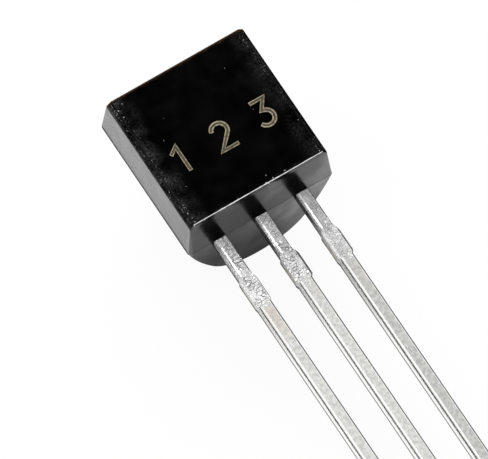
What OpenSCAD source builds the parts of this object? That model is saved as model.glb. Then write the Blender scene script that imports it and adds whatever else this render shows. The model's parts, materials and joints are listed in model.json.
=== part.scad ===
// Three-lead moulded transistor with a flat face and a rounded back, lying on its back.
//
// Every piece is drawn in the device frame: X runs across the leads, Y along them with the
// body towards +Y and the lead tips towards -Y, and Z out of the flat face. Z = 0 is the
// mould's parting plane, which is also the front of the stamped leads, and Y = 0 is the
// body's lead end on that plane. lay() then tips the whole device onto its back and tips.

/* [Moulded body] */
// Width across the leads, at the parting line
body_w = 4.45; // [4.2:0.05:4.8]
// Height along the leads, at the parting line
body_h = 4.42; // [4.2:0.02:4.8]
// Depth from the parting line forward to the flat face
front_d = 1.5; // [1.25:0.05:1.6]
// Depth from the parting line back to the crown of the rounded back
back_d = 2.65; // [2.3:0.05:2.7]
// Radius of the rounded back at its crown
back_r = 1.88; // [1.75:0.01:1.95]
// Draft of the front half's sides and ends, in degrees
front_draft = 4.5; // [2:0.5:6]
// Draft of the back half's two ends, in degrees
back_draft = 2; // [1:0.5:4]
// Width taken off each side of the flat face by its bevel
bevel_w = 0.16; // [0.08:0.02:0.24]
// Depth of that bevel
bevel_d = 0.2; // [0.1:0.02:0.3]
// Radius between a side wall and its bevel
bevel_r = 0.08; // [0.04:0.01:0.1]
// Radius of the crisp edges round the flat face
edge_r = 0.04; // [0.02:0.01:0.08]

/* [Marks of the mould] */
// How far the flash stands out along the parting line
flash_out = 0.015; // [0.01:0.005:0.03]
// Thickness of the flash
flash_t = 0.03; // [0.02:0.01:0.05]
// Diameter of the ejector pin's mark in the rounded back
ejector_d = 1; // [0.8:0.1:1.4]
// Depth of that mark at the crown
ejector_depth = 0.1; // [0.05:0.01:0.15]
// Width of the broken gate on the body's far end
gate_w = 0.8; // [0.5:0.1:1.2]
// Thickness of the gate, behind the parting plane
gate_t = 0.22; // [0.15:0.01:0.3]
// How far the broken gate stands out
gate_out = 0.05; // [0.02:0.01:0.1]

/* [Leads outside the body] */
// Distance from one lead's middle to the next
lead_pitch = 1.27; // [1.2:0.01:1.34]
// Length of the leads, from the body to the cut tips
lead_l = 14.3; // [12.7:0.1:15]
// Thickness of the stamped strip
lead_t = 0.4; // [0.36:0.01:0.5]
// Width of a lead from the dam bar to its tip
lead_w = 0.4; // [0.36:0.01:0.46]
// Width of a lead between the body and the dam bar
neck_w = 0.37; // [0.34:0.01:0.42]
// Distance from the body to the trimmed dam bar
dam_y = 1.32; // [1.1:0.02:1.6]
// Length along the lead where the dam bar was trimmed off
dam_l = 0.8; // [0.6:0.05:1]
// What is left of the dam bar on each lead's -X side
stub_near = [0.02, 0.03, 0.02]; // [0:0.01:0.1]
// What is left of the dam bar on each lead's +X side
stub_far = [0.035, 0.07, 0.06]; // [0:0.01:0.1]
// Length over which the neck flares out to the +X stub
flare_l = 0.32; // [0.2:0.02:0.4]
// Length over which the other stub ends blend into the lead
blend_l = 0.08; // [0.04:0.01:0.12]

/* [Lead frame inside the body] */
// Width of the paddle that carries the die
paddle_w = 2; // [1.6:0.05:2.1]
// Height of the paddle
paddle_h = 1.6; // [1.2:0.05:1.8]
// Distance from the body's lead end to the paddle
paddle_y = 1.75; // [1.5:0.05:2]
// How far the paddle reaches past the collector lead's outer edge
paddle_wing = 0.2; // [0.1:0.02:0.3]
// Gap between the paddle and each bond post
post_gap = 0.4; // [0.25:0.05:0.5]
// Width of the base lead's bond post
base_post_w = 0.9; // [0.6:0.05:1]
// Height of the base lead's bond post
base_post_h = 0.5; // [0.4:0.05:0.7]
// Height of the emitter lead's bond post
emitter_post_h = 1; // [0.7:0.05:1.2]
// How far the emitter post reaches past that lead's outer edge
emitter_wing = 0.15; // [0.05:0.05:0.25]
// Depth to which the bond posts are coined flat
coin_d = 0.03; // [0.02:0.01:0.05]
// Rim left uncoined round a bond post
coin_rim = 0.06; // [0.04:0.01:0.1]
// Radius of the notches that lock each lead in the moulding
lock_r = 0.06; // [0.04:0.01:0.08]
// Distance from the body's lead end to the lock notches
lock_y = 0.45; // [0.3:0.05:0.6]

/* [Die and bond wires] */
// Side of the square die
die_w = 0.42; // [0.3:0.02:0.6]
// Thickness of the die
die_t = 0.18; // [0.12:0.01:0.25]
// Thickness of the solder under the die
attach_t = 0.02; // [0.01:0.005:0.03]
// How far the solder shows round the die
attach_rim = 0.03; // [0.02:0.01:0.06]
// Diameter of the bond wires
wire_d = 0.03; // [0.025:0.005:0.05]
// Diameter of the ball where a wire starts on the die
ball_d = 0.08; // [0.07:0.01:0.1]
// Height of that ball
ball_h = 0.03; // [0.02:0.01:0.04]
// Height of a wire's loop over the die
loop_h = 0.26; // [0.2:0.02:0.4]
// Length of the flattened stitch where a wire ends on its post
stitch_l = 0.12; // [0.08:0.01:0.16]
// Width of the stitch
stitch_w = 0.06; // [0.05:0.01:0.08]
// Thickness of the stitch at its end
stitch_t = 0.012; // [0.01:0.002:0.02]

/* [Hidden] */
$fn = 64;

ARC_STEPS = 5;      // segments in a small edge radius
FLARE_STEPS = 8;    // segments in the curved flare of a lead
WIRE_SIDES = 8;     // sides of a bond wire's section
LOOP_STEPS = 14;    // rings along a bond wire's loop
OVER = 1;           // how far a cutting solid runs past what it cuts

// Section of the body
side_x = body_w / 2 - (front_d - bevel_d) * tan(front_draft);
flat_x = side_x - bevel_w;
front_inset = front_d * tan(front_draft);
back_inset = back_d * tan(back_draft);

// Leads, from -X to +X: collector, base, emitter
lead_x = [for (i = [-1:1]) i * lead_pitch];
dam_end = dam_y + dam_l;

// Paddle and bond posts, as [left, bottom] and [right, top] corners
paddle_lo = [lead_x[0] - neck_w / 2 - paddle_wing, paddle_y];
paddle_hi = paddle_lo + [paddle_w, paddle_h];
base_post_lo = [lead_x[1] - base_post_w / 2, paddle_lo[1] - post_gap - base_post_h];
base_post_hi = base_post_lo + [base_post_w, base_post_h];
emitter_post_lo = [paddle_hi[0] + post_gap, paddle_lo[1]];
emitter_post_hi = [lead_x[2] + neck_w / 2 + emitter_wing, paddle_lo[1] + emitter_post_h];

// Die in the middle of the paddle, with a bond pad on either side of its centre
die_at = (paddle_lo + paddle_hi) / 2;
die_top = attach_t + die_t;
pad_off = die_w / 4;
base_pad = [die_at[0] - pad_off / 2, die_at[1] - pad_off, die_top];
emitter_pad = [die_at[0] + pad_off, die_at[1] + pad_off / 2, die_top];
base_bond = [each (base_post_lo + base_post_hi) / 2, -coin_d];
emitter_bond = [each (emitter_post_lo + emitter_post_hi) / 2, -coin_d];

// The device rests on the back's lead-end corner and on the lead tips, seen as [y, z]
heel = [back_inset, -back_d];
tip = [-lead_l, -lead_t];
rest_tilt = atan2(tip[1] - heel[1], heel[0] - tip[0]);
far_ends = [[body_h - back_inset, -back_d], [body_h + gate_out, -gate_t], [body_h + flash_out, 0]];
y_high = max([for (p = far_ends) laid(p)[0]]);
y_low = laid([-lead_l, 0])[0];

// A [y, z] point of the device once it is tipped onto its back
function laid(p) = [p[0] * cos(rest_tilt) - p[1] * sin(rest_tilt),
                    p[0] * sin(rest_tilt) + p[1] * cos(rest_tilt)];

function unit(v) = v / norm(v);
function angle_of(v) = atan2(v[1], v[0]);
function short_way(a) = a > 180 ? a - 360 : a < -180 ? a + 360 : a;

// The arc of radius r that rounds corner b between a and c
function fillet(a, b, c, r) =
    let (u = unit(a - b), v = unit(c - b), half = acos(u * v) / 2,
         mid = b + unit(u + v) * r / sin(half),
         start = angle_of(b + u * r / tan(half) - mid),
         sweep = short_way(angle_of(b + v * r / tan(half) - mid) - start))
    [for (i = [0:ARC_STEPS]) mid + r * [cos(start + sweep * i / ARC_STEPS),
                                        sin(start + sweep * i / ARC_STEPS)]];

// A closed outline whose corners are [x, y, radius]; a radius of 0 stays sharp
function rounded(corners) =
    let (n = len(corners), flat = [for (c = corners) [c[0], c[1]]])
    [for (i = [0:n - 1])
        each corners[i][2] == 0 ? [flat[i]]
            : fillet(flat[(i + n - 1) % n], flat[i], flat[(i + 1) % n], corners[i][2])];

// Where the line from p touches the crown's circle, on the +X side
function crown_touch(p) =
    let (to_centre = [0, back_r - back_d] - p, far = norm(to_centre),
         heading = angle_of(to_centre) + asin(back_r / far))
    p + sqrt(far * far - back_r * back_r) * [cos(heading), sin(heading)];

// An S-shaped step from one [x, y] point to another
function flare(from, to) =
    [for (i = [0:FLARE_STEPS]) let (t = i / FLARE_STEPS)
        [from[0] + (to[0] - from[0]) * (1 - cos(180 * t)) / 2, from[1] + (to[1] - from[1]) * t]];

// Lays the whole device down, centred on its own footprint
module lay() {
    translate([0, -(y_high + y_low) / 2, -laid(tip)[1]])
        rotate([rest_tilt, 0, 0])
            children();
}

// A rectangle between two corners
module between(lo, hi) {
    translate(lo) square(hi - lo);
}

// Section across the leads: flat face, bevels and drafted sides in front, D-shaped behind
module body_plan() {
    right = rounded([[body_w / 2, 0, 0], [side_x, front_d - bevel_d, bevel_r],
                     [flat_x, front_d, edge_r], [0, front_d, 0]]);
    touch = crown_touch([body_w / 2, 0]);
    for (side = [0, 1]) mirror([side, 0]) polygon([each right, [0, touch[1]], touch]);
    translate([0, back_r - back_d]) circle(back_r);
}

// Section along the leads: both ends drafted away from the parting line, as [y, z]
module body_side() {
    polygon(rounded([[0, 0, 0], [back_inset, -back_d, 0], [body_h - back_inset, -back_d, 0],
                     [body_h, 0, 0], [body_h - front_inset, front_d, edge_r],
                     [front_inset, front_d, edge_r]]));
}

// The moulding's outer form, before anything is set in it
module body_form() {
    intersection() {
        translate([0, body_h + OVER, 0])
            rotate([90, 0, 0]) linear_extrude(body_h + 2 * OVER) body_plan();
        translate([-body_w, 0, 0])
            rotate([90, 0, 90]) linear_extrude(2 * body_w) body_side();
    }
    translate([-body_w / 2 - flash_out, -flash_out, -flash_t / 2])
        cube([body_w + 2 * flash_out, body_h + 2 * flash_out, flash_t]);
    translate([-gate_w / 2, body_h / 2, -gate_t])
        cube([gate_w, body_h / 2 + gate_out, gate_t]);
}

// One lead's strip, from its cut tip to top_y inside the body
module lead_strip(i, top_y) {
    near = lead_w / 2 + stub_near[i];
    far = lead_w / 2 + stub_far[i];
    difference() {
        translate([lead_x[i], 0])
            polygon([[-lead_w / 2, -lead_l], [lead_w / 2, -lead_l],
                     [lead_w / 2, -dam_end - blend_l], [far, -dam_end],
                     each flare([far, -dam_y - flare_l / 2], [neck_w / 2, -dam_y + flare_l / 2]),
                     [neck_w / 2, top_y], [-neck_w / 2, top_y],
                     [-neck_w / 2, -dam_y + blend_l], [-near, -dam_y],
                     [-near, -dam_end], [-lead_w / 2, -dam_end - blend_l]]);
        for (side = [-1, 1])
            translate([lead_x[i] + side * neck_w / 2, lock_y]) circle(lock_r);
    }
}

// Gives a stamped outline the strip's thickness, behind the parting plane
module stamped() {
    translate([0, 0, -lead_t]) linear_extrude(lead_t) children();
}

// The recess that coining leaves in a bond post
module coined(lo, hi) {
    translate([0, 0, -coin_d])
        linear_extrude(coin_d + OVER) between(lo + [coin_rim, coin_rim], hi - [coin_rim, coin_rim]);
}

module collector_lead() {
    color("silver")
        stamped() {
            lead_strip(0, paddle_lo[1]);
            between(paddle_lo, paddle_hi);
        }
}

module base_lead() {
    color("silver")
        difference() {
            stamped() {
                lead_strip(1, base_post_lo[1]);
                between(base_post_lo, base_post_hi);
            }
            coined(base_post_lo, base_post_hi);
        }
}

module emitter_lead() {
    color("silver")
        difference() {
            stamped() {
                lead_strip(2, emitter_post_lo[1]);
                between(emitter_post_lo, emitter_post_hi);
            }
            coined(emitter_post_lo, emitter_post_hi);
        }
}

module die_attach() {
    side = die_w + 2 * attach_rim;
    color("gainsboro")
        translate([die_at[0] - side / 2, die_at[1] - side / 2, 0]) cube([side, side, attach_t]);
}

module silicon_die() {
    color("dimgray")
        translate([die_at[0] - die_w / 2, die_at[1] - die_w / 2, attach_t])
            cube([die_w, die_w, die_t]);
}

function bezier(a, b, c, d, t) =
    a * pow(1 - t, 3) + 3 * b * t * pow(1 - t, 2) + 3 * c * t * t * (1 - t) + d * pow(t, 3);

// A bond wire in its own upright plane: ball on the pad, loop, and stitch on the post.
// Each ring is [along, up, half width, half height, heading in degrees].
function wire_rings(run, drop) =
    let (r = wire_d / 2, snug = cos(180 / WIRE_SIDES),
         heel_at = [run - stitch_l / 2, drop + r * snug],
         start = [0, ball_h + r],
         lift = start + [0, loop_h],
         glide = heel_at + [-run / 3, loop_h / 2],
         loop = [for (i = [0:LOOP_STEPS]) bezier(start, lift, glide, heel_at, i / LOOP_STEPS)])
    [[0, 0, ball_d / 2, ball_d / 2, 90], [0, ball_h, ball_d / 2, ball_d / 2, 90],
     for (i = [0:LOOP_STEPS - 1])
        [each loop[i], r, r, i == 0 ? 90 : angle_of(loop[i + 1] - loop[i - 1])],
     [each heel_at, r, r, 0],
     [heel_at[0] + stitch_l, drop + stitch_t / 2 * snug, stitch_w / 2, stitch_t / 2, 0]];

module bond_wire(from, to) {
    flat = [to[0] - from[0], to[1] - from[1]];
    rings = wire_rings(norm(flat), to[2] - from[2]);
    n = WIRE_SIDES;
    last = len(rings) - 1;
    points = [for (k = rings, j = [0:n - 1]) let (a = (j + 0.5) * 360 / n)
        [k[0] - k[3] * sin(a) * sin(k[4]), k[2] * cos(a), k[1] + k[3] * sin(a) * cos(k[4])]];
    sides = [for (k = [0:last - 1], j = [0:n - 1])
        let (a = k * n + j, b = k * n + (j + 1) % n)
        each [[a, b, b + n], [a, b + n, a + n]]];
    translate(from)
        rotate(angle_of(flat))
            polyhedron(points, [each sides, [for (j = [n - 1:-1:0]) j],
                                [for (j = [0:n - 1]) last * n + j]]);
}

module base_wire() {
    color("gold") bond_wire(base_pad, base_bond);
}

module emitter_wire() {
    color("gold") bond_wire(emitter_pad, emitter_bond);
}

// The compound flows round everything on the frame, so the body is its outer form less those
module moulded_body() {
    color([0.03, 0.03, 0.03])
        difference() {
            body_form();
            translate([0, body_h / 2, -back_d - OVER])
                cylinder(d = ejector_d, h = ejector_depth + OVER);
            collector_lead();
            base_lead();
            emitter_lead();
            die_attach();
            silicon_die();
            base_wire();
            emitter_wire();
        }
}

lay() moulded_body();
lay() collector_lead();
lay() base_lead();
lay() emitter_lead();
lay() die_attach();
lay() silicon_die();
lay() base_wire();
lay() emitter_wire();
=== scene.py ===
# %% [markdown]
# # A moulded transistor on its back
#
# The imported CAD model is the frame: it gives every piece its place and size, in metres.
# This lesson builds what the eye sees round it: a glossy moulding with crisp edges, tinned leads,
# fine etched pin numbers, and a small studio whose dark cards make black plastic look black.

# %% Load the frame
import json
import math
import random
from collections import Counter

import bpy
from mathutils import Matrix, Vector


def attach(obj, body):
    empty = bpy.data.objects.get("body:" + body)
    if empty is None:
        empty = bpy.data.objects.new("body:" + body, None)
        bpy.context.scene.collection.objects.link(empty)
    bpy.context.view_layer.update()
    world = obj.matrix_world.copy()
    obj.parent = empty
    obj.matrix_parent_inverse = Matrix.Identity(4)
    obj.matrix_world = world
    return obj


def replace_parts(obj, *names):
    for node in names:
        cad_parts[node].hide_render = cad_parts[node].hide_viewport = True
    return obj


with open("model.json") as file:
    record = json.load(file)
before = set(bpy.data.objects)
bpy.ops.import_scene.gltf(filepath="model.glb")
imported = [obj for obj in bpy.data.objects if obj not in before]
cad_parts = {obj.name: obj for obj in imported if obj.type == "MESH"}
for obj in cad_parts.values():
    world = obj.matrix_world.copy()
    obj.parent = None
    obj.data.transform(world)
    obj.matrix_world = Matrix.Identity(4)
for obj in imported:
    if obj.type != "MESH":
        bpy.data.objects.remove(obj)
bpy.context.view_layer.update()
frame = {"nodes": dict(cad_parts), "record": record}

# %% [markdown]
# The device is easier to model standing square, in millimetres: X across the leads, Y along them
# towards the body, Z out of the flat face. Its mounts say how it lies, so one matrix carries
# a finished piece from there into the frame. Millimetres also keep the edit tools away from their
# smallest working size, which a piece this small would reach in metres.

# %% The device's own frame
MM = 0.001
BODY_W, BODY_H = 4.45, 4.42  # at the parting line
FRONT_D, BACK_D = 1.5, 2.65  # from the parting line to the flat face and to the crown
mounts = {m["name"]: m for m in frame["record"]["mounts"]}
face = mounts["flat_front"]
out_of_flat = Vector(face["axis"])
along_leads = -Vector(mounts["base_solder"]["axis"])
across = along_leads.cross(out_of_flat)
PINS = ("collector", "base", "emitter")
LEAD_X = [mounts[pin + "_solder"]["pos_m"][0] / MM for pin in PINS]

origin = Vector(face["pos_m"]) - out_of_flat * FRONT_D * MM - along_leads * BODY_H / 2 * MM
TURN = Matrix((across, along_leads, out_of_flat)).transposed()
DEVICE = Matrix.Translation(origin) @ TURN.to_4x4() @ Matrix.Scale(MM, 4)
print("leads at", [round(x, 3) for x in LEAD_X], "tilt", round(math.degrees(TURN.to_euler().x), 2))

# %% [markdown]
# ## The camera
#
# A long lens from a quarter of a metre away, looking down on the flat face from beyond the tips and
# rolled a little, so that the leads run down to the right. It aims at one point of the object.

# %% Camera
PICTURE_W = 488  # the picture's width in pixels
AIM = Vector((-0.609, 4.593, 2.6))  # the point in the middle of the picture, mm
AZIMUTH, ELEVATION, ROLL = (math.radians(a) for a in (-23.786, 58.74, -9.177))
DISTANCE = 250  # mm
PIXELS_PER_MM = 38.017  # at the aimed point
SENSOR_W = 36  # mm
CLIP_M = (0.01, 10)  # the nearest and farthest that it sees, in metres

# the directions to its right, up and back turn it; then it is rolled
back = Vector((math.sin(AZIMUTH) * math.cos(ELEVATION),
               -math.cos(AZIMUTH) * math.cos(ELEVATION), math.sin(ELEVATION)))
right = Vector((0, 0, 1)).cross(back).normalized()
level = Matrix((right, back.cross(right), back)).transposed()
turn = level @ Matrix.Rotation(ROLL, 3, "Z")
place = (AIM + turn.col[2] * DISTANCE) * MM
bpy.ops.object.camera_add(location=place, rotation=turn.to_euler())
camera = bpy.context.object
camera.data.sensor_width = SENSOR_W
camera.data.lens = PIXELS_PER_MM * DISTANCE * SENSOR_W / PICTURE_W
camera.data.clip_start, camera.data.clip_end = CLIP_M
bpy.context.scene.camera = camera
print("camera at", [round(v, 4) for v in camera.location], "lens", round(camera.data.lens, 1), "mm")

# %% [markdown]
# ## Hands for edit mode
#
# With no window there is nothing to click, so faces and edges are chosen by where they are.
# These helpers start from nothing selected, because the frame's own nodes arrive selected.

# %% Selecting and applying
NEAR = 1e-3  # mm: two places this close are the same place


def leave_edit():
    bpy.ops.object.mode_set(mode="OBJECT")


def only(obj):
    """Select one object alone."""
    if bpy.context.object and bpy.context.object.mode != "OBJECT":
        leave_edit()
    bpy.ops.object.select_all(action="DESELECT")
    obj.select_set(True)
    bpy.context.view_layer.objects.active = obj
    return obj


def settle(name):
    """Name the object just added, and put its place and turn into its mesh."""
    obj = only(bpy.context.object)
    obj.name = obj.data.name = name
    bpy.ops.object.transform_apply(location=True, rotation=True, scale=True)
    return obj


def edit_all(obj):
    only(obj)
    bpy.ops.object.mode_set(mode="EDIT")
    bpy.ops.mesh.select_all(action="SELECT")


def pick(obj, kind, wanted):
    """In edit mode, select the faces or edges for which wanted(corners, normal) is true."""
    edit_all(obj)
    bpy.ops.mesh.select_mode(type=kind)
    bpy.ops.mesh.select_all(action="DESELECT")
    leave_edit()
    mesh = obj.data
    for part in (mesh.polygons if kind == "FACE" else mesh.edges):
        corners = [mesh.vertices[v].co for v in part.vertices]
        part.select = wanted(corners, part.normal if kind == "FACE" else None)
    bpy.ops.object.mode_set(mode="EDIT")


def merge_corners(obj):
    edit_all(obj)
    bpy.ops.mesh.remove_doubles(threshold=NEAR / 10)
    leave_edit()


def slice_off(obj, place, outward):
    """Cut away what lies outward of a plane, and close the cut."""
    edit_all(obj)
    bpy.ops.mesh.bisect(plane_co=place, plane_no=outward, use_fill=True, clear_outer=True,
                        threshold=NEAR / 10)


def finish_modifier(obj, kind, **settings):
    """Add a modifier, set it and apply it."""
    only(obj)
    modifier = obj.modifiers.new(kind.lower(), kind)
    for name, value in settings.items():
        setattr(modifier, name, value)
    bpy.ops.object.modifier_apply(modifier=modifier.name)


def cut_with(obj, tool, operation):
    """Join a tool to obj or cut it out, then throw the tool away."""
    finish_modifier(obj, "BOOLEAN", object=tool, operation=operation, solver="EXACT")
    bpy.data.objects.remove(tool)


print("CAD nodes:", ", ".join(sorted(frame["nodes"])))

# %% [markdown]
# A finished piece is laid down: carried from the device's frame to where it lies. Smooth shading
# would blend a large flat face into its roundings. Normals weighted by area keep it flat, and
# a polished face shows the difference at once. A closed solid has no open edges.

# %% From the device's frame to the CAD's, and back
SMOOTH_BELOW = math.radians(30)  # a sharper turn between two faces stays an edge


def open_edges(obj):
    """How many edges don't have exactly two faces."""
    faces_at = Counter(key for polygon in obj.data.polygons for key in polygon.edge_keys)
    return sum(count != 2 for count in faces_at.values())


def lay_down(obj):
    """Turn a finished piece from mm to metres where it lies, shade it and let it ride."""
    only(obj)
    obj.matrix_world = DEVICE
    bpy.ops.object.transform_apply(location=True, rotation=True, scale=True)
    bpy.ops.object.shade_smooth_by_angle(angle=SMOOTH_BELOW)
    finish_modifier(obj, "WEIGHTED_NORMAL", keep_sharp=True)
    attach(obj, "root")
    print(obj.name, len(obj.data.polygons), "faces,", open_edges(obj), "open edges")
    return obj


def copy_of_node(node, name):
    """A merged copy of a CAD node, in the device's frame, in mm."""
    obj = bpy.data.objects.new(name, frame["nodes"][node].data.copy())
    bpy.context.scene.collection.objects.link(obj)
    obj.data.transform(DEVICE.inverted())
    merge_corners(obj)
    obj.data.materials.clear()
    return obj


print("a piece is laid down", [round(v / MM, 2) for v in DEVICE.translation], "mm from the origin")

# %% [markdown]
# ## The moulded body
#
# The compound fills two steel halves that meet at the leads' front. The back half is a round bar
# whose flanks run off it in a slight curve. So a cylinder is cut where they leave it, and its cut
# face is pulled up: in a few steps to the parting line, up the drafted sides, in over the bevels.

# %% The body's section, pulled along
BACK_R = 1.68  # radius of the crown
FLANK_R = 8  # radius of the slight curve from there to the parting line
FLANK_STEPS = 6
FRONT_DRAFT, BACK_DRAFT = math.radians(4.5), math.radians(2)
BEVEL_W, BEVEL_D = 0.13, 0.17  # the bevels along the flat face's two long edges
BEVEL_R = 0.08  # radius where a side wall turns into its bevel
EDGE_R = 0.04  # radius of the crisp edges
SHARP = math.radians(25)  # a turn sharper than this is an edge to round
CROWN_SIDES = 128  # sides of the cylinder that the bar starts from
SIDE_X = BODY_W / 2 - (FRONT_D - BEVEL_D) * math.tan(FRONT_DRAFT)
FLAT_X = SIDE_X - BEVEL_W


def flank_arc():
    """The middle of a flank's curve, as (x, z), and where it leaves the crown's circle."""
    crown, parting = Vector((0, BACK_R - BACK_D)), Vector((BODY_W / 2, 0))
    apart, spare = (parting - crown).length, FLANK_R - BACK_R
    along = (spare ** 2 - FLANK_R ** 2 + apart ** 2) / (2 * apart)
    ahead = (parting - crown) / apart
    middle = crown + ahead * along
    middle += Vector((-ahead.y, ahead.x)) * math.sqrt(spare ** 2 - along ** 2)
    return middle, crown + (crown - middle).normalized() * BACK_R


def pull_top(body, at_z, up, half_from, half_to):
    """Extrude the face that looks up at this height, and change its width."""
    pick(body, "FACE", lambda corners, n: n.z > 0.99 and abs(corners[0].z - at_z) < NEAR)
    bpy.ops.mesh.extrude_region_move(TRANSFORM_OT_translate={"value": (0, 0, up)})
    bpy.ops.transform.resize(value=(half_to / half_from, 1, 1), center_override=(0, 0, 0))


def body_bar():
    middle, leaves = flank_arc()
    bpy.ops.mesh.primitive_cylinder_add(vertices=CROWN_SIDES, radius=BACK_R, depth=BODY_H,
                                        location=(0, BODY_H / 2, BACK_R - BACK_D),
                                        rotation=(math.pi / 2, 0, 0))
    body = settle("epoxy_body")
    slice_off(body, (0, 0, leaves.y), (0, 0, 1))
    levels = [leaves.y * (1 - step / FLANK_STEPS) for step in range(FLANK_STEPS + 1)]
    half = [middle.x + math.sqrt(FLANK_R ** 2 - (z - middle.y) ** 2) for z in levels]
    for low, high, half_low, half_high in zip(levels, levels[1:], half, half[1:]):
        pull_top(body, low, high - low, half_low, half_high)
    pull_top(body, 0, FRONT_D - BEVEL_D, BODY_W / 2, SIDE_X)
    pull_top(body, FRONT_D - BEVEL_D, BEVEL_D, SIDE_X, FLAT_X)
    return body


body = body_bar()
leave_edit()
print("flanks leave the crown at", [round(v, 3) for v in flank_arc()[1]],
      "faces", len(body.data.polygons))

# %% [markdown]
# The turn between side and bevel is rounded while the bar is still plain. Then four slanted cuts
# give the ends their draft, each leaning away from the parting line, as a mould needs to let go.

# %% Rounded turns and drafted ends
def round_long_turns(body):
    turn = math.atan2(BEVEL_W, BEVEL_D) - FRONT_DRAFT
    pick(body, "EDGE", lambda corners, _: all(
        abs(abs(c.x) - SIDE_X) < NEAR and abs(c.z - FRONT_D + BEVEL_D) < NEAR for c in corners))
    bpy.ops.mesh.bevel(offset=BEVEL_R * math.tan(turn / 2), segments=5, affect="EDGES")


def cut_ends(body):
    for end_y, outward in ((0, -1), (BODY_H, 1)):
        for lean in (math.tan(FRONT_DRAFT), -math.tan(BACK_DRAFT)):
            slice_off(body, (0, end_y, 0), (0, outward, lean))
    leave_edit()


def round_crisp_edges(body):
    """Round every sharp edge but the parting line's."""
    pick(body, "EDGE", lambda *_: False)
    bpy.ops.mesh.edges_select_sharp(sharpness=SHARP)
    leave_edit()
    for edge in body.data.edges:
        if all(abs(body.data.vertices[v].co.z) < NEAR for v in edge.vertices):
            edge.select = False
    bpy.ops.object.mode_set(mode="EDIT")
    bpy.ops.mesh.bevel(offset=EDGE_R, segments=4, affect="EDGES", clamp_overlap=False)
    leave_edit()


round_long_turns(body)
cut_ends(body)
round_crisp_edges(body)
print("skin:", len(body.data.polygons), "faces,", open_edges(body), "open edges")

# %% [markdown]
# A mould leaves marks. A whisker of flash stands along the parting line, most of it on the sides.
# The gate where the compound came in is a broken stub on the far end, and an ejector pin pushed
# a shallow round mark into the back. The pocket inside is the shape of the lead frame, die and
# wires that the compound flowed round. Last, the parting line is marked sharp for the shading.

# %% Marks of the mould, and the pocket
SIDE_FLASH, END_FLASH = 0.015, 0.003  # how far the flash stands out
FLASH_T = 0.018  # its thickness
FLASH_CORNER = 0.08  # the flash stops this far short of the corners
GATE_W, GATE_T, GATE_OUT = 0.8, 0.22, 0.05
GATE_IN = 0.5  # how far the stub reaches into the body, to join it
TORN_CUTS, TORN_SHARE = 6, 0.8  # cuts across the stub's end, and how deep they are torn
EJECTOR_D, EJECTOR_DEPTH = 1.0, 0.1
INNER = [pin + "_lead" for pin in PINS] + ["die_attach", "silicon_die", "base_wire", "emitter_wire"]


def block(name, low, high):
    """A box between two corners."""
    low, high = Vector(low), Vector(high)
    bpy.ops.mesh.primitive_cube_add(size=1, location=(low + high) / 2, scale=high - low)
    return settle(name)


def torn_gate():
    """The gate's stub, its far end broken unevenly."""
    end_y = BODY_H + GATE_OUT
    gate = block("gate", (-GATE_W / 2, BODY_H - GATE_IN, -GATE_T), (GATE_W / 2, end_y, 0))
    shaken = random.Random(7)
    edit_all(gate)
    bpy.ops.mesh.subdivide(number_cuts=TORN_CUTS)
    leave_edit()
    for vertex in gate.data.vertices:
        if vertex.co.y > end_y - NEAR:
            vertex.co.y -= shaken.random() * (GATE_OUT * TORN_SHARE)
    return gate


def add_mould_marks(body):
    half_w, half_t = BODY_W / 2 + SIDE_FLASH, FLASH_T / 2
    flash = block("flash", (-half_w, -END_FLASH, -half_t), (half_w, BODY_H + END_FLASH, half_t))
    pick(flash, "EDGE", lambda corners, _: abs(corners[0].z - corners[1].z) > NEAR)
    bpy.ops.mesh.bevel(offset=FLASH_CORNER, segments=3, affect="EDGES")
    cut_with(body, flash, "UNION")
    cut_with(body, torn_gate(), "UNION")
    bpy.ops.mesh.primitive_cylinder_add(vertices=64, radius=EJECTOR_D / 2, depth=2 * EJECTOR_DEPTH,
                                        location=(0, BODY_H / 2, -BACK_D))
    cut_with(body, settle("ejector"), "DIFFERENCE")


def keep_seam(body):
    """Mark the parting line sharp, so that the two drafts on an end don't blend into one."""
    pick(body, "EDGE", lambda corners, _: all(abs(c.z) < FLASH_T / 2 + NEAR for c in corners))
    bpy.ops.mesh.mark_sharp()
    leave_edit()


add_mould_marks(body)
for node in INNER:
    cut_with(body, copy_of_node(node, node + "_room"), "DIFFERENCE")
keep_seam(body)
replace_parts(lay_down(body), "moulded_body")

# %% [markdown]
# ## The leads
#
# Each lead is stamped from one strip, so the CAD outline is already right, inside the body too.
# A merged copy gets what stamping and plating leave: soft edges that catch a line of light.

# %% Leads with softened edges
LEAD_EDGE = 0.042  # width of the softened edges, mm
STRAIGHT = math.radians(1)  # faces that turn less than this are one face
SQUARE_TURN = math.radians(50)  # edges that turn more than this are softened


def soft_lead(node):
    lead = copy_of_node(node, "tinned_" + node)
    edit_all(lead)
    bpy.ops.mesh.dissolve_limited(angle_limit=STRAIGHT)
    leave_edit()
    finish_modifier(lead, "BEVEL", width=LEAD_EDGE, segments=3, limit_method="ANGLE",
                    angle_limit=SQUARE_TURN)
    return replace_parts(lay_down(lead), node)


leads = [soft_lead(pin + "_lead") for pin in PINS]

# %% [markdown]
# ## Pin numbers
#
# Each number stands over its own lead. A marking laser follows both sides of a stroke and burns its
# middle less. So a numeral is drawn as one centre line, that line is offset to both sides into
# a closed outline, and the outline becomes a curve with a thin round section. The same outline,
# filled and hardly raised, is the stroke's middle. Both are made meshes and joined.

# %% Numerals as centre lines
NUMBER_H = 0.78  # height of a numeral, mm
NUMBER_Y = 1.9  # height of its middle above the lead end
STROKE_W = 0.085  # width of a stroke, from line to line


def arc(middle, radius, start, end, steps=20):
    """Points round part of a circle, from one angle in degrees to another."""
    turns = [math.radians(start + (end - start) * i / steps) for i in range(steps + 1)]
    return [(middle[0] + radius * math.cos(t), middle[1] + radius * math.sin(t)) for t in turns]


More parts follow.
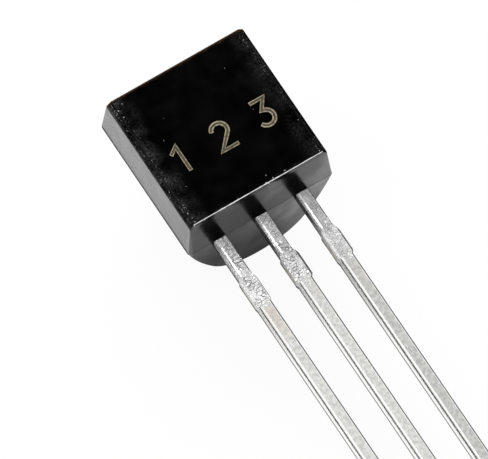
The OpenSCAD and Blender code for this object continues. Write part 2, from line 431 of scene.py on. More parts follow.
# each numeral in a box 1 high, its middle at (0, 0.5)
CENTRE_LINES = {
    "1": [(-0.22, 0.79), (0.06, 1.0), (0.06, 0.0)],
    "2": arc((0, 0.72), 0.28, 165, -38) + [(-0.29, 0.0), (0.32, 0.0)],
    "3": [(-0.25, 1.0), (0.26, 1.0), (-0.03, 0.59)] + arc((-0.03, 0.29), 0.29, 75, -150),
}


def outline_of(line, half):
    """Both sides of a centre line, as one closed loop."""
    points = [Vector(p) for p in line]
    left, right = [], []
    for i, point in enumerate(points):
        before, after = points[max(i - 1, 0)], points[min(i + 1, len(points) - 1)]
        legs = [leg.normalized() for leg in (point - before, after - point) if leg.length > 0]
        ahead = sum(legs, Vector((0, 0))).normalized()
        aside = Vector((-ahead.y, ahead.x))
        reach = half / max(0.5, legs[0].dot(ahead))
        left.append(point + aside * reach)
        right.append(point - aside * reach)
    return left + right[::-1]


print({text: len(line) for text, line in CENTRE_LINES.items()}, "points")

# %% Etched numbers
MARK_LINE = 0.019  # half the width of the laser's line
MARK_SINK = 0.3  # its height as a share of its width
MIDDLE_T = 0.003  # how far the stroke's middle stands out


def numeral_mesh(name, text, x, **shape):
    """A numeral's outline as a curve of the given shape, made a mesh in its place on the flat."""
    curve = bpy.data.curves.new(name, "CURVE")
    for setting, value in shape.items():
        setattr(curve, setting, value)
    loop = outline_of(CENTRE_LINES[text], STROKE_W / 2 / NUMBER_H)
    spline = curve.splines.new("POLY")
    spline.points.add(len(loop) - 1)
    for point, (px, py) in zip(spline.points, loop):
        point.co = (px * NUMBER_H, (py - 0.5) * NUMBER_H, 0, 1)
    spline.use_cyclic_u = True
    numeral = bpy.data.objects.new(name, curve)
    bpy.context.scene.collection.objects.link(numeral)
    numeral.location = (x, NUMBER_Y, FRONT_D)
    numeral.scale.z = MARK_SINK
    only(numeral)
    bpy.ops.object.convert(target="MESH")
    return settle(name)


def etched_number(text, x):
    middle = numeral_mesh("middle", text, x, dimensions="2D", fill_mode="BOTH",
                          extrude=MIDDLE_T / MARK_SINK)
    number = numeral_mesh("pin_number_" + text, text, x, dimensions="3D",
                          bevel_depth=MARK_LINE, bevel_resolution=2)
    middle.select_set(True)
    bpy.ops.object.join()
    merge_corners(number)
    return lay_down(number)


numbers = [etched_number(str(i + 1), x) for i, x in enumerate(LEAD_X)]

# %% [markdown]
# ## Finishes
#
# Every finish is worked out from where a point lies on the piece, in millimetres in the device's
# own frame. Object coordinates give the place, and a Mapping node turns them square and scales
# them. Most finishes are masks between 0 and 1 that are multiplied, compared and mixed, so each of
# those steps gets a short name here. A socket knows its node tree, as id_data, so a step can be
# called with the values alone if the first one comes from a node.

# %% Steps between masks
SQUARE = DEVICE.inverted()  # from the frame, in metres, to the device's own frame, in mm


def feed(socket, value):
    """Link a value to a socket if it comes from a node, or set it if it is a plain one."""
    if isinstance(value, bpy.types.NodeSocket):
        socket.id_data.links.new(value, socket)
    else:
        socket.default_value = value


def add_node(tree, kind, inputs=(), **settings):
    """Add a node, set its options, and feed its inputs: a dict by name or number."""
    node = tree.nodes.new("ShaderNode" + kind)
    for name, value in settings.items():
        setattr(node, name, value)
    for key, value in dict(inputs).items():
        feed(node.inputs[key], value)
    return node


def step(kind, inputs, **settings):
    """Add a node beside the one that its first input comes from, and return its first output."""
    beside = next(iter(inputs.values()))
    return add_node(beside.id_data, kind, inputs, **settings).outputs[0]


def math_node(operation, first, *rest):
    """Work in the values one after another; a step on a single value ignores the 0."""
    for value in rest or (0,):
        first = step("Math", {0: first, 1: value}, operation=operation)
    return first


def times(*values):
    return math_node("MULTIPLY", *values)


def largest(*values):
    return math_node("MAXIMUM", *values)


def inverse(mask):
    return step("Math", {1: mask, 0: 1.0}, operation="SUBTRACT")


def off(value, middle):
    """How far a value is from a middle one, to either side."""
    return math_node("ABSOLUTE", math_node("SUBTRACT", value, middle))


def ramp(value, low, high, to_low=0.0, to_high=1.0):
    """Carry value from low..high to to_low..to_high smoothly, and hold it there outside."""
    return step("MapRange", {"Value": value, "From Min": low, "From Max": high, "To Min": to_low,
                             "To Max": to_high}, interpolation_type="SMOOTHSTEP")


def mix(mask, a, b):
    """The number a where the mask is 0, and b where it is 1."""
    return step("Mix", {0: mask, 2: a, 3: b})


def mix_colour(mask, a, b):
    return add_node(mask.id_data, "Mix", {0: mask, 6: a, 7: b}, data_type="RGBA").outputs[2]


def grey(value):
    return (value, value, value, 1)


def stretch(place, factors):
    return step("VectorMath", {0: place, 1: factors}, operation="MULTIPLY")


def noise(place, per_mm, detail):
    return step("TexNoise", {"Vector": place, "Scale": per_mm, "Detail": detail})


def streaks(place, per_mm, detail):
    """Noise drawn out along the axis for which per_mm is smallest."""
    return noise(stretch(place, per_mm), 1.0, detail)


def bump(height, strength, distance):
    """Relief from a height: distance is its depth in metres."""
    return step("Bump", {"Height": height, "Strength": strength, "Distance": distance})


def split(place):
    """The three coordinates of a place."""
    return add_node(place.id_data, "SeparateXYZ", {0: place}).outputs


print("the flat's middle:", [round(v, 3) for v in SQUARE @ Vector(face["pos_m"])])

# %% [markdown]
# A material starts with its shader and with the place of a point. A piece may have a second one:
# some of its faces, picked by where they are, are given to it.

# %% Starting and giving out a material
def empty_material(name):
    material = bpy.data.materials.new(name)
    material.use_nodes = True
    material.node_tree.nodes.clear()
    return material, material.node_tree


def start_material(name):
    """A material with its shader, and the place of a point in the device's frame, in mm."""
    material, tree = empty_material(name)
    shader = add_node(tree, "BsdfPrincipled")
    add_node(tree, "OutputMaterial", {"Surface": shader.outputs[0]})
    local = add_node(tree, "TexCoord").outputs["Object"]
    place = step("Mapping", {"Vector": local, "Location": SQUARE.translation,
                             "Rotation": SQUARE.to_euler(), "Scale": (1 / MM,) * 3})
    return material, shader, place


def plug(shader, **sockets):
    for name, value in sockets.items():
        feed(shader.inputs[name.replace("_", " ")], value)


def dress(obj, material):
    obj.data.materials.clear()
    obj.data.materials.append(material)


def dress_part(obj, material, wanted):
    """Give a second material to the faces for which wanted(corners, normal) is true."""
    obj.data.materials.append(material)
    pick(obj, "FACE", wanted)
    obj.active_material_index = 1
    bpy.ops.object.material_slot_assign()
    leave_edit()
    count = sum(face.material_index == 1 for face in obj.data.polygons)
    print(obj.name, "has", count, "faces in", material.name)


print("materials that came with the frame:", [m.name for m in bpy.data.materials])

# %% [markdown]
# ### Four effects
#
# Effects that several finishes share are node groups. Specks are the dust and chips on every small
# part. Mottle is the slow change that keeps a surface from looking drawn. A wear and highlight line
# runs along an edge, for rubbed wear and for a painted highlight. Wrinkles are how plating runs and
# freezes where the leads were trimmed, with creases between the folds that are painted dark as
# shade.

# %% The shared node groups
def new_group(name, inputs, outputs):
    """A node group whose sockets are numbers, but for Place, and its inputs and end."""
    tree = bpy.data.node_groups.new(name, "ShaderNodeTree")
    for direction, sockets in (("INPUT", inputs), ("OUTPUT", outputs)):
        for socket in sockets:
            kind = "NodeSocketVector" if socket == "Place" else "NodeSocketFloat"
            tree.interface.new_socket(socket, in_out=direction, socket_type=kind)
    given = tree.nodes.new("NodeGroupInput").outputs
    return tree, given, tree.nodes.new("NodeGroupOutput").inputs


def build_specks():
    tree, given, end = new_group("Fine specks", ["Place", "Per mm", "Size", "Share"], ["Mask"])
    cells = add_node(tree, "TexVoronoi", {"Vector": given["Place"], "Scale": given["Per mm"]})
    chance = add_node(tree, "SeparateColor", {0: cells.outputs["Color"]})
    size = times(given["Size"], math_node("ADD", chance.outputs[1], 0.3))
    dot = ramp(cells.outputs["Distance"], size, times(size, 0.5))
    kept = math_node("LESS_THAN", chance.outputs[0], given["Share"])
    feed(end["Mask"], times(dot, kept))
    return tree


def build_mottle():
    tree, given, end = new_group("Soft mottle", ["Place", "Per mm", "Low", "High"], ["Value"])
    cloud = noise(given["Place"], given["Per mm"], 4.0)
    feed(end["Value"], ramp(cloud, 0.3, 0.7, given["Low"], given["High"]))
    return tree


# A line along an edge: rubbed wear, and also a painted highlight where it stands for light on an
# edge
def build_wear_and_highlight_line():
    tree, given, end = new_group("Wear and highlight line", ["Place", "Distance", "Width", "Per mm"], ["Mask"])
    cloud = noise(given["Place"], given["Per mm"], 3.0)
    reach = ramp(cloud, 0.4, 0.7, times(given["Width"], 0.6), given["Width"])
    feed(end["Mask"], ramp(given["Distance"], reach, times(reach, 0.5)))
    return tree


def build_wrinkles():
    tree, given, end = new_group("Frozen wrinkles", ["Place", "Per mm"],
                                 ["Height", "Shine", "Crease"])
    warp = add_node(tree, "TexNoise", {"Vector": given["Place"], "Scale": 3.0})
    bent = stretch(warp.outputs["Color"], (0.25, 0.25, 0.25))
    place = step("VectorMath", {0: given["Place"], 1: bent})
    folds = step("TexNoise", {"Vector": place, "Scale": given["Per mm"], "Detail": 5.0,
                              "Distortion": 0.8},
                 noise_type="RIDGED_MULTIFRACTAL", normalize=True)
    grains = step("TexVoronoi", {"Vector": place, "Scale": given["Per mm"]}, feature="SMOOTH_F1")
    feed(end["Height"], math_node("ADD", folds, times(grains, 0.7)))
    feed(end["Shine"], ramp(grains, 0.1, 0.6))
    cracks = step("TexVoronoi", {"Vector": stretch(place, (0.45, 1, 1)),
                                 "Scale": given["Per mm"]}, feature="DISTANCE_TO_EDGE")
    patches = ramp(warp.outputs[0], 0.4, 0.55, 0.25, 1.0)
    feed(end["Crease"], times(ramp(cracks, 0.1, 0.0), patches))
    return tree


SPECKS, MOTTLE = build_specks(), build_mottle()
WEAR_AND_HIGHLIGHT_LINE, WRINKLES = build_wear_and_highlight_line(), build_wrinkles()
print("node groups:", [group.name for group in bpy.data.node_groups])

# %% [markdown]
# A group is one node in the material that uses it, so placing one is a call too. Each is told how
# many of its cells lie in a millimetre, and takes its other values by their names.

# %% Placing the groups
def use_group(group, place, per_mm, **inputs):
    inputs = {"Place": place, "Per mm": per_mm, **inputs}
    return add_node(place.id_data, "Group", inputs, node_tree=group).outputs


def mottle(place, per_mm, low=0, high=1):
    return use_group(MOTTLE, place, per_mm, Low=low, High=high)["Value"]


def specks(place, per_mm, size, share):
    return use_group(SPECKS, place, per_mm, Size=size, Share=share)["Mask"]


def wear_and_highlight_line(place, per_mm, width, distance):
    return use_group(WEAR_AND_HIGHLIGHT_LINE, place, per_mm, Width=width, Distance=distance)["Mask"]


print("mottle takes", [socket.name for socket in MOTTLE.interface.items_tree][1:])

# %% [markdown]
# ### Black moulding compound
#
# The mould's front is polished, its sides are finer than its back, and the compound copies them
# all. Its edges are the first to rub: the flat's lead end shows a pale, nicked line that glints,
# rubbed wear with a painted highlight on it, and the far edge a painted warm highlight. Both
# creases of each bevel carry a scatter of chips, fewer on the right. Handling leaves a haze of
# scuffs beside them, but the crease itself stays clean and dark.
#
# First come the worn places and the painted highlights. Each function returns masks, and a mask
# drives colour and gloss alike.

# %% Where the compound is worn, and its painted highlights
FLAT_LOW = FRONT_D * math.tan(FRONT_DRAFT)  # the flat's lead end, along the leads
GLINT_IN, GLINT_W = 0.01, 0.022  # how far inside that end the line runs; its width
NICKED = 0.09  # how far from the line its nicks reach
CHIPPED, TURN_CHIPPED = 0.14, 0.1  # how far from a crease its chips reach
CLEAN = (0.024, 0.034)  # a crease is clean up to here, and worn from here
SCUFFED = 0.6  # how far from the bevel the scuffs reach
WARM_SHEEN_W = 0.13  # width of the painted warm highlight on the far edge
RIGHT_SHARE = 0.55  # wear of the right edge, as a share of the left's
# specks: cells to a millimetre, size in a cell, share of the cells that have one
NICKS, GRIT, CHIPS, DUST = (13, 0.4, 0.3), (34, 0.5, 0.4), (24, 0.4, 0.09), (5.6, 0.06, 0.25)


def distance_to_line(a, b, at_a, at_b):
    """How far a point is from a line that runs along the third axis."""
    da, db = math_node("SUBTRACT", a, at_a), math_node("SUBTRACT", b, at_b)
    squares = math_node("ADD", times(da, da), times(db, db))
    return math_node("SQRT", squares)


def lead_end_wear_and_highlight(place):
    """The flat's lead-end line, rubbed wear with a painted highlight, and the nicks beside it."""
    _, y, z = split(place)
    away = distance_to_line(y, z, FLAT_LOW + GLINT_IN, FRONT_D - GLINT_IN)
    nicks = times(ramp(away, NICKED, 0.03), specks(place, *NICKS))
    return wear_and_highlight_line(place, 9, GLINT_W, away), nicks


def worn_bevels(place):
    """The chips along both creases of each bevel, and the scuffs beside them."""
    x, _, z = split(place)
    side = math_node("ABSOLUTE", x)
    from_crease = distance_to_line(side, z, FLAT_X, FRONT_D)
    from_turn = distance_to_line(side, z, SIDE_X, FRONT_D - BEVEL_D)
    worn = ramp(x, -0.5, 0.5, 1.0, RIGHT_SHARE)
    clean = ramp(from_crease, *CLEAN)
    handled = mottle(place, 2.2)

    near = largest(ramp(from_crease, CHIPPED, 0.02), ramp(from_turn, TURN_CHIPPED, 0.02, 0, 0.4))
    grit = times(specks(place, *GRIT), ramp(handled, 0, 1, 0.1, 0.42))
    chips = times(largest(grit, specks(place, *CHIPS)), near, worn, clean, 0.9)
    scuffs = times(ramp(side, FLAT_X - SCUFFED, FLAT_X), handled, clean, worn, mottle(place, 16))
    return chips, scuffs


def far_edge_warm_sheen(place):
    """The flat's far edge, with a painted warm brown highlight."""
    _, y, z = split(place)
    edge = wear_and_highlight_line(place, 4, WARM_SHEEN_W, off(y, BODY_H - FLAT_LOW))
    return times(edge, ramp(z, FRONT_D - 0.3, FRONT_D - 0.1))


print("flat face:", round(2 * FLAT_X, 2), "by", round(BODY_H - 2 * FLAT_LOW, 2), "mm")

# %% [markdown]
# The colour is nearly black, so what shows is gloss. A clear coat brightens the side walls evenly,
# and the lead end in smoky patches.
#
# The rounded edges are rubbed matt, which takes a low specular level. That level is one number for
# a whole material, because an exported model loses it if a mask drives it. So the edges' faces get
# a second material, made by the same function with its own level.

# %% Moulded epoxy
POLISHED, SATIN_SIDE, MATT_BACK = 0.1, 0.3, 0.4  # roughness of the mould's surfaces
LEAD_END_FINISH, WORN_FINISH = 0.17, 0.6
COMPOUND_IOR = 1.66
FLAT_GRAIN = 0.03  # relief of the glossy faces, as a share of the others'
WALL_COAT = 0.65
SMOKE = (-0.5, 0.75)  # coat at the lead end, from its darkest to its lightest patch
BLACK = grey(0.0004), grey(0.002)  # the same for the compound's black
SCUFF, WARM_SHEEN, PALE = grey(0.05), (0.024, 0.012, 0.005, 1), grey(0.9)


def epoxy_colour(place, pale, scuffs):
    black = mix_colour(mottle(place, 1.1), *BLACK)
    black = mix_colour(scuffs, black, SCUFF)
    # the far edge's brown is a painted warm highlight
    black = mix_colour(far_edge_warm_sheen(place), black, WARM_SHEEN)
    return mix_colour(pale, black, PALE)


def epoxy_material(name, specular):
    material, shader, place = start_material(name)
    x, y, z = split(place)
    glint, nicks = lead_end_wear_and_highlight(place)
    chips, scuffs = worn_bevels(place)
    # pale: the lead-end line's painted highlight, together with real nicks, chips and dust
    pale = largest(glint, nicks, chips, specks(place, *DUST))

    front = ramp(z, FRONT_D - BEVEL_D - 0.03, FRONT_D - BEVEL_D + 0.01)
    lead_end = ramp(y, 0.24, 0.14)
    finish = mix(front, SATIN_SIDE, POLISHED)
    finish = mix(ramp(z, 0, -0.6), finish, MATT_BACK)
    finish = mix(lead_end, finish, LEAD_END_FINISH)
    finish = math_node("ADD", finish, mottle(place, 2.5, -0.02, 0.04))
    finish = mix(pale, finish, WORN_FINISH)

    depth = mix(largest(front, lead_end), 1.0, FLAT_GRAIN)
    relief = bump(times(mottle(place, 22), depth), 0.35, 0.01 * MM)
    walls = ramp(math_node("ABSOLUTE", x), SIDE_X - 0.02, SIDE_X)
    coat = largest(times(walls, WALL_COAT), times(mottle(place, 0.8, *SMOKE), lead_end))
    # the painted highlight of the lead-end line is also made metallic, so that it glints
    plug(shader, Base_Color=epoxy_colour(place, pale, scuffs), Roughness=finish,
         Metallic=glint, Normal=relief, IOR=COMPOUND_IOR, Specular_IOR_Level=specular,
         Coat_Weight=coat, Coat_Roughness=0.25)
    return material


def in_rounded_edge(corners, _):
    """Whether a face belongs to the rounded edges of the flat and its bevels."""
    x, y, z = SQUARE @ (sum(corners, Vector()) / len(corners))
    from_end = min(abs(y - FLAT_LOW), abs(y - BODY_H + FLAT_LOW))
    return min(math.hypot(from_end, z - FRONT_D), math.hypot(abs(x) - FLAT_X, z - FRONT_D),
               math.hypot(abs(x) - SIDE_X, z - FRONT_D + BEVEL_D)) < 1.2 * EDGE_R


epoxy = epoxy_material("Moulded black epoxy", 0.5)
dress(body, epoxy)
dress_part(body, epoxy_material("Moulded black epoxy rubbed matt", 0.04), in_rounded_edge)
print(epoxy.name, "has", len(epoxy.node_tree.nodes), "nodes")

# %% [markdown]
# ### The etched line
#
# The laser burns the compound's carbon away and leaves a tan, chalky line of its filler. Between
# the two lines of a stroke the surface is only scorched, and stays almost black.

# %% Laser mark
CHALK = (0.5, 0.45, 0.33, 1)


def etched_material(name, dark, light, chalky):
    material, shader, place = start_material(name)
    burn = mottle(place, 14)
    chalk = times(specks(place, 30, 0.5, 0.5), chalky)
    colour = mix_colour(chalk, mix_colour(burn, dark, light), CHALK)
    plug(shader, Base_Color=colour, Roughness=0.7, Normal=bump(burn, 0.5, 0.006 * MM))
    return material


def in_middle(corners, _):
    """Whether a face of a numeral belongs to the middle of its stroke."""
    return all(abs((SQUARE @ corner).z - FRONT_D) < 1.1 * MIDDLE_T for corner in corners)


etched = etched_material("Laser etched line", (0.14, 0.11, 0.06, 1), (0.42, 0.35, 0.22, 1), 0.5)
scorched = etched_material("Laser scorched middle",
                           (0.012, 0.009, 0.003, 1), (0.05, 0.038, 0.014, 1), 0.08)
for number in numbers:
    dress(number, etched)
    dress_part(number, scorched, in_middle)

# %% [markdown]
# ### Tinned leads
#
# Tin flows over the copper and freezes: rough and wrinkled on the neck and on the rest of the tie
# bar, where the metal was worked, and smooth and satin beyond. Where the tie bar was sheared the
# copper shows through as an olive brown. Inside the body the same strip is silvered.
#
# The trimming tool came from one side and rolled the left edge of the front over. A painted
# highlight runs along the front's edges, boldest on the neck, and a painted shade darkens the
# right edge beyond it. The side faces get a painted shade along their rear edge, and beside the
# body a painted reflection of the black body darkens them.

# %% Places on a lead
WORKED_END = -2.25  # where the worked length ends, along the leads
STUBS = (-2.12, -1.32)  # the sheared stubs of the tie bar, along the leads
STUB_X = 0.205  # their cut faces, out from the lead's middle
NECK = (-1.35, -1.05)  # where the rolled edge's line grows bold, along the leads
NECK_EDGE, STUB_EDGE = 0.15, 0.2  # where the front's edges lie, out from the lead's middle
STAIN_RISES, STAIN_FALLS = (-3.6, -2.6), (-2.2, -2.5)  # the warm stain past the worked length
REAR_EDGE_SHADE = -0.25  # where a painted shade along the side faces' rear edge begins, back from the front
SILVERED = (0.25, 0.45)  # where the silver inside the body begins


def near_front(z):
    return ramp(z, -LEAD_EDGE * 1.1, -LEAD_EDGE * 0.9)


def front_edges(place, lead_x):
    """Distance past the front's edge; masks of the left half, the painted rim highlight and edge
    shade.
    """
    x, y, z = split(place)
    by_stub = times(ramp(y, STUBS[0] - 0.1, STUBS[0]), ramp(y, STUBS[1] + 0.12, STUBS[1]))
    past_edge = math_node("SUBTRACT", off(x, lead_x), ramp(by_stub, 0, 1, NECK_EDGE, STUB_EDGE))
    on_left = math_node("LESS_THAN", x, lead_x)
    # painted highlight: a band inside the rolled left edge, and the rounding of the right edge
    left_rim_highlight = times(ramp(past_edge, -0.07, -0.05), ramp(past_edge, -0.005, -0.025))
    rim_highlight = mix(on_left, ramp(past_edge, -0.01, 0.01), left_rim_highlight)
    # painted shade along the right edge, past its rounding
    right_edge_shade = times(ramp(past_edge, 0.01, 0.025), inverse(on_left))
    return past_edge, on_left, times(rim_highlight, near_front(z)), right_edge_shade


def sheared_face(place, lead_x, bare):
    """The cut faces of the stubs, where this share of the copper shows."""
    x, y, z = split(place)
    return times(ramp(off(x, lead_x), STUB_X, STUB_X + 0.015),
                 ramp(y, STUBS[0], STUBS[0] + 0.06), ramp(y, STUBS[1] - 0.1, STUBS[1] - 0.4),
                 ramp(z, -0.08, -0.12, 0, bare))


print("stubs", round(STUBS[1] - STUBS[0], 2), "mm long,", -STUBS[1], "mm from the body")

# %% [markdown]
# The tin's colour is laid on in this order: plating, wrinkles with their painted crease shade,
# stain, the edges' painted highlight and shade, side faces with painted shade, shear, silver.
#
# A polished body mirrors its leads as dark bands, because it sees their shaded side. The Light
# Path node tells a mirrored ray from a direct one, and last of all it gives a mirrored ray
# a dark tin.

# %% The tin's colour
STAIN, SILVER = (0.62, 0.42, 0.30, 1), (0.86, 0.84, 0.80, 1)
DULL_COPPER, BARE_COPPER = (0.40, 0.36, 0.25, 1), (0.62, 0.57, 0.44, 1)
# painted shade in the creases, a painted highlight on the rim, painted shade on the right edge, and
# the dark tin that mirrored rays see
CREASE_SHADE, RIM_HIGHLIGHT, RIGHT_EDGE_SHADE, MIRRORED = grey(0.15), grey(0.97), grey(0.1), grey(0.004)
WALL = 0.97  # the side faces' own grey


def near_white(level):
    """A very slightly warm grey."""
    return (level, level, level - 0.02, 1)


def plating(place, worked, satin, crease_shade, smooth, rough):
    """Smooth tin on most of the lead, worked tin painted paler near the body to offset its shadow.
    """
    y = split(place)["Y"]
    # painted light: the worked tin is paler near the body, where the body shades it
    clean = mix_colour(ramp(y, -0.9, -0.1), grey(rough), grey(min(1.0, 1.2 * rough)))
    satin_tin = mix_colour(satin, near_white(smooth - 0.04), near_white(smooth + 0.04))
    # the creases between the folds are painted dark, as shade
    return mix_colour(worked, satin_tin, mix_colour(crease_shade, clean, CREASE_SHADE))


def side_colour(place, shade):
    """The side faces: painted shade beside the body, and nearly black painted shade along the rear
    edge.
    """
    _, y, z = split(place)
    level = times(ramp(y, -1.6, -0.7, WALL, shade), ramp(z, REAR_EDGE_SHADE, REAR_EDGE_SHADE - 0.03, 1.0, 0.03))
    return step("CombineColor", dict.fromkeys(range(3), level))


def tin_colour(place, tin, satin, stain, rim_highlight, right_edge_shade, sheared, shade, mirrored):
    """The plating's colour with all that happened to it laid on."""
    _, y, z = split(place)
    stained = times(ramp(y, *STAIN_RISES), ramp(y, *STAIN_FALLS), satin, stain)
    side_face = ramp(z, -LEAD_EDGE * 0.7, -LEAD_EDGE * 1.1)
    copper = mix_colour(satin, DULL_COPPER, BARE_COPPER)
    for mask, colour in ((stained, STAIN), (rim_highlight, RIM_HIGHLIGHT), (right_edge_shade, RIGHT_EDGE_SHADE),
                         (side_face, side_colour(place, shade)), (sheared, copper),
                         (ramp(y, *SILVERED), SILVER), (mirrored, MIRRORED)):
        tin = mix_colour(mask, tin, colour)
    return tin


print("copper shows from", DULL_COPPER[:3], "to", BARE_COPPER[:3])

# %% [markdown]
# Worked tin is dull, so it is only partly metallic, and the rest of it scatters light. The relief
# adds the lines of drawing on smooth tin, the wrinkles on worked tin, and on the neck the slope of
# the rolled edge. Each lead has its own share of wear and of painted shade.

# %% Tin, worked and smooth
SMOOTH_FINISH, WORKED_FINISH, BURNISHED = 0.42, 0.32, 0.22  # roughness
WORKED_METAL = 0.55  # how metallic worked tin is
RIM_METAL = (0.15, 1.0)  # the same for the rim, on the smooth length and on the neck
ROLL = 0.7  # height of the rolled edge's slope
TIN_RELIEF = 0.021  # depth of the relief, mm


def tin_material(name, lead_x, smooth, rough, wrinkling, stain, shade, bare):
    """Tin for one lead: greys of smooth and worked tin, then the shares of wear and of painted
    shade.
    """
    material, shader, place = start_material(name)
    _, y, z = split(place)
    ragged_y = math_node("ADD", y, mottle(place, 4, -0.25, 0.25))
    worked = ramp(ragged_y, WORKED_END - 0.1, WORKED_END + 0.3)
    folds = use_group(WRINKLES, place, 12)
    satin = mottle(place, 9)
    past_edge, on_left, rim_highlight, right_edge_shade = front_edges(place, lead_x)
    neck = ramp(y, *NECK)
    on_neck = times(rim_highlight, neck)
    mirrored = add_node(material.node_tree, "LightPath").outputs["Is Glossy Ray"]

    tin = plating(place, worked, satin, times(folds["Crease"], wrinkling), smooth, rough)
    tin = tin_colour(place, tin, satin, stain, rim_highlight, right_edge_shade,
                     sheared_face(place, lead_x, bare), shade, mirrored)

    metal = mix(rim_highlight, mix(worked, 1.0, WORKED_METAL), ramp(neck, 0, 1, *RIM_METAL))
    finish = math_node("ADD", mix(worked, SMOOTH_FINISH, WORKED_FINISH), times(satin, 0.06))
    burnished = largest(on_neck, ramp(past_edge, 0, 0.015))
    finish = mix(burnished, finish, BURNISHED)

    drawn = times(streaks(place, (40, 3, 40), 3.0), 0.06)
    wrinkled = math_node("SUBTRACT", folds["Height"], folds["Crease"])
    height = mix(times(worked, wrinkling), drawn, wrinkled)
    height = times(height, ramp(on_neck, 0, 1, 1.0, 0.25))
    roll = times(ramp(past_edge, -0.07, -0.015, 0, ROLL), on_left, neck, near_front(z))
    relief = bump(math_node("SUBTRACT", height, roll), 1.0, TIN_RELIEF * MM)
    plug(shader, Base_Color=tin, Roughness=largest(finish, mirrored),
         Metallic=times(metal, inverse(mirrored)), Normal=relief)
    return material


# shade is the painted shade of the side faces beside the body, a reflection of the black body
WEAR_AND_SHADE = [  # smooth, rough, wrinkling, stain, shade, bare
    (0.6, 0.97, 0.8, 0.4, 0.8, 0.3),
    (0.6, 0.87, 0.8, 0.05, 0.12, 0.8),
    (0.5, 0.72, 0.5, 0.05, 0.12, 0.8),
]
for lead, pin, lead_x, wear_and_shade in zip(leads, PINS, LEAD_X, WEAR_AND_SHADE):
    tin = tin_material("Tin on the " + pin + " lead", lead_x, *wear_and_shade)
    dress(lead, tin)
    print(tin.name, "has", len(tin.node_tree.nodes), "nodes")

# %% [markdown]
# ### What the body holds
#
# Solder, chip and wires are out of sight, but anyone who hides the body finds them, so their CAD
# solids keep their shapes and get finishes too: frozen solder, an etched chip, drawn gold.

# %% Solder, silicon and gold
DIE_AT, DIE_W, DIE_TOP = (-0.655, 2.55), 0.42, 0.2  # the chip's middle, width and top, mm
SCRIBE_W = 0.03  # the bare line round its oxide
PADS = [(-0.708, 2.445), (-0.55, 2.603)]  # the bond pads' middles
PAD_W = 0.1


def solder_material():
    material, shader, place = start_material("Frozen soft solder")
    folds = use_group(WRINKLES, place, 9)
    colour = mix_colour(folds["Shine"], (0.42, 0.42, 0.44, 1), (0.68, 0.68, 0.70, 1))
    plug(shader, Base_Color=colour, Metallic=1.0, Roughness=0.38,
         Normal=bump(folds["Height"], 0.8, 0.01 * MM))
    return material


def square_mask(place, middle, width, soft=0.006):
    """1 inside an upright square, and 0 outside it."""
    x, y, _ = split(place)
    away = largest(off(x, middle[0]), off(y, middle[1]))
    return ramp(away, width / 2, width / 2 - soft)


def silicon_material():
    """A chip: blue-grey oxide inside a bare scribe line, aluminium pads, saw-cut sides."""
    material, shader, place = start_material("Diffused silicon")
    z = split(place)["Z"]
    top = ramp(z, DIE_TOP - 0.01, DIE_TOP - 0.004)
    oxide = times(square_mask(place, DIE_AT, DIE_W - 2 * SCRIBE_W), top)
    pads = times(largest(*(square_mask(place, pad, PAD_W) for pad in PADS)), top)
    film = mix_colour(mottle(place, 8), (0.10, 0.13, 0.24, 1), (0.17, 0.15, 0.25, 1))
    colour = mix_colour(oxide, grey(0.16), film)
    sawn = times(streaks(place, (8, 8, 300), 2.0), inverse(top))
    plug(shader, Base_Color=mix_colour(pads, colour, grey(0.82)),
         Roughness=mix(top, 0.45, 0.12), Metallic=pads,
         Normal=bump(math_node("ADD", sawn, pads), 0.5, 0.002 * MM))
    return material


def gold_material():
    material, shader, place = start_material("Drawn gold wire")
    drawn = streaks(place, (12, 160, 160), 3.0)
    colour = mix_colour(drawn, (0.86, 0.60, 0.22, 1), (0.96, 0.76, 0.38, 1))
    plug(shader, Base_Color=colour, Metallic=1.0,
         Roughness=mottle(place, 16, 0.14, 0.26), Normal=bump(drawn, 0.3, 0.001 * MM))
    return material


gold = gold_material()
for node, material in (("die_attach", solder_material()), ("silicon_die", silicon_material()),
                       ("base_wire", gold), ("emitter_wire", gold)):
    dress(frame["nodes"][node], material)
print("materials:", [m.name for m in bpy.data.materials])

# %% [markdown]
# ## The studio
#
# Glossy black plastic has almost no colour of its own, so it is lit by what it mirrors. The walls
# of the body mirror a white floor, and its flat, bevels and edges mirror black cards. Velvet is
# black up to its faded rim. Gauze lets some of the floor through, and a reflector glows.

# %% What the floor and the cards are made of
CARD_MIDDLE = (0.5, 0.5, 0)  # of a card, in its UV coordinates


def plain_material(name, build, *options):
    """A material made of plain shaders; build(tree, *options) returns the last of them."""
    material, tree = empty_material(name)
    add_node(tree, "OutputMaterial", {"Surface": build(tree, *options)})
    return material


def seen_share(tree, camera, mirrored):
    """A share for camera rays, another for glossy and transmitted rays, and 0 for the rest."""
    path = add_node(tree, "LightPath").outputs
    other = largest(path["Is Glossy Ray"], path["Is Transmission Ray"])
    return largest(times(path["Is Camera Ray"], camera), times(other, mirrored))


def mix_shaders(tree, share, first, second):
    """One shader where the share is 0, and another where it is 1; each is a kind and a level."""
    inputs = {0: share}
    for socket, (kind, level) in enumerate((first, second), 1):
        inputs[socket] = add_node(tree, kind, {"Color": grey(level)}).outputs[0]
    return step("MixShader", inputs)


def white_paper(tree):
    return mix_shaders(tree, seen_share(tree, 0.94, 0.1), ("BsdfDiffuse", 0.92), ("Emission", 1))


def faded_card(tree, shader, solid_to, density):
    """A card that fades out between solid_to and its rim, so that no hard edge shows."""
    local = add_node(tree, "TexCoord").outputs["UV"]
    away = add_node(tree, "VectorMath", {0: local, 1: CARD_MIDDLE}, operation="DISTANCE")
    solid = ramp(away.outputs[1], 0.5, solid_to, 0, density)
    return mix_shaders(tree, solid, ("BsdfTransparent", 1), shader)


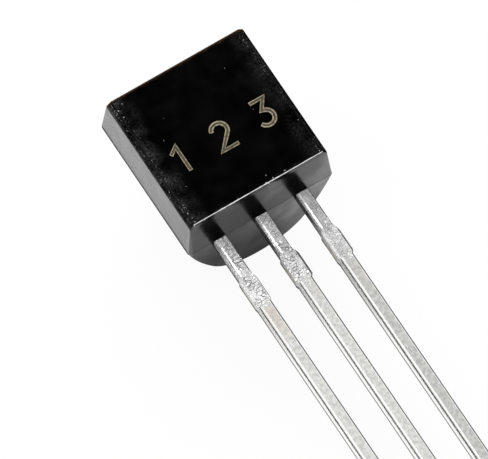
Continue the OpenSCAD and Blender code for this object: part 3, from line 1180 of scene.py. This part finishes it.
paper = plain_material("White paper", white_paper)
velvet = plain_material("Black velvet", faded_card, ("BsdfDiffuse", 0), 0.4, 1.0)
gauze = plain_material("Black gauze", faded_card, ("BsdfDiffuse", 0), 0.1, 0.52)
reflector = plain_material("White reflector", faded_card, ("Emission", 1), 0.4, 1.0)
print("studio materials:", [m.name for m in (paper, velvet, gauze, reflector)])

# %% [markdown]
# The flat mirrors a black flag overhead, and its bevels and edges mirror cards at the left, low at
# the right, and behind. Gauze lies where the foot of the lead-end face looks, as a painted shadow:
# it stands in for the body's shadow on the floor and turns that foot a deeper grey. The reflector
# lies under the leads, whose side faces would otherwise mirror nothing but their own shadow. Only
# mirrored rays see the flag and cards: they throw no shadow.

# %% Floor, flag and cards
UP, DOWN, RIGHT = (0, 0, 1), (0, 0, -1), (1, 0, 0)
CARDS = [  # name, middle and size in mm, facing, material
    ("overhead_flag", (21, 27, 104), (70, 70), DOWN, velvet),
    ("left_card", (-70, 20, 8), (200, 30), RIGHT, velvet),
    ("low_right_card", (22, 8, 0.1), (36, 60), UP, velvet),
    ("contact_shadow_card", (-1.0, 5.0, 0.02), (5.4, 1.9), UP, gauze),
    ("reflector", (-1.2, -7.2, 0.03), (9, 22), UP, reflector),
    ("far_card", (4, 36, 0.1), (60, 52), UP, velvet),
]


def add_card(name, middle, size, facing, material):
    """A flat card, with its middle in mm and its face turned towards a direction."""
    turn = Vector(facing).to_track_quat("Z", "Y").to_euler()
    bpy.ops.mesh.primitive_plane_add(size=1, location=Vector(middle) * MM, rotation=turn)
    bpy.context.object.scale = (size[0] * MM, size[1] * MM, 1)
    card = settle(name)
    dress(card, material)
    return card


add_card("floor", (0, 4, 0), (600, 600), UP, paper)
for card in [add_card(*described) for described in CARDS]:
    for ray in ("camera", "diffuse", "transmission", "volume_scatter", "shadow"):
        setattr(card, "visible_" + ray, False)
print(len(CARDS), "cards that only mirrored rays see")

# %% [markdown]
# The world is plain white to the camera and to mirrored rays, and gentler as light. Two soft lamps
# stand clear of what the flat mirrors: a strong one behind, which shapes the leads, and a weaker
# one high at the left.

# %% World and lamps
MIDDLE = Vector((0, 7, 3))  # what the lamps are turned to, mm
LAMP_AWAY = 150  # mm
WORLD_LIGHT = 0.5


def add_softbox(name, towards, width, height, level):
    """A rectangular lamp that lights a surface facing it to about this level."""
    towards = Vector(towards).normalized()
    bpy.ops.object.light_add(type="AREA", location=(MIDDLE + towards * LAMP_AWAY) * MM,
                             rotation=towards.to_track_quat("Z", "Y").to_euler())
    lamp = bpy.context.object
    lamp.name = name
    lamp.data.shape = "RECTANGLE"
    lamp.data.size, lamp.data.size_y = width * MM, height * MM
    lamp.data.energy = level * math.pi ** 2 * (LAMP_AWAY * MM) ** 2


world = bpy.data.worlds.new("Studio")
bpy.context.scene.world = world
world.use_nodes = True
world.node_tree.nodes.clear()
strength = ramp(seen_share(world.node_tree, 1.0, 1.0), 0, 1, WORLD_LIGHT, 1.0)
light = step("Background", {"Strength": strength, "Color": grey(1)})
add_node(world.node_tree, "OutputWorld", {"Surface": light})
add_softbox("rear_softbox", (0.3, 0.72, 0.6), 120, 80, 0.85)
add_softbox("left_softbox", (-0.42, 0.1, 0.88), 90, 90, 0.33)
bpy.context.scene.view_settings.view_transform = "Standard"
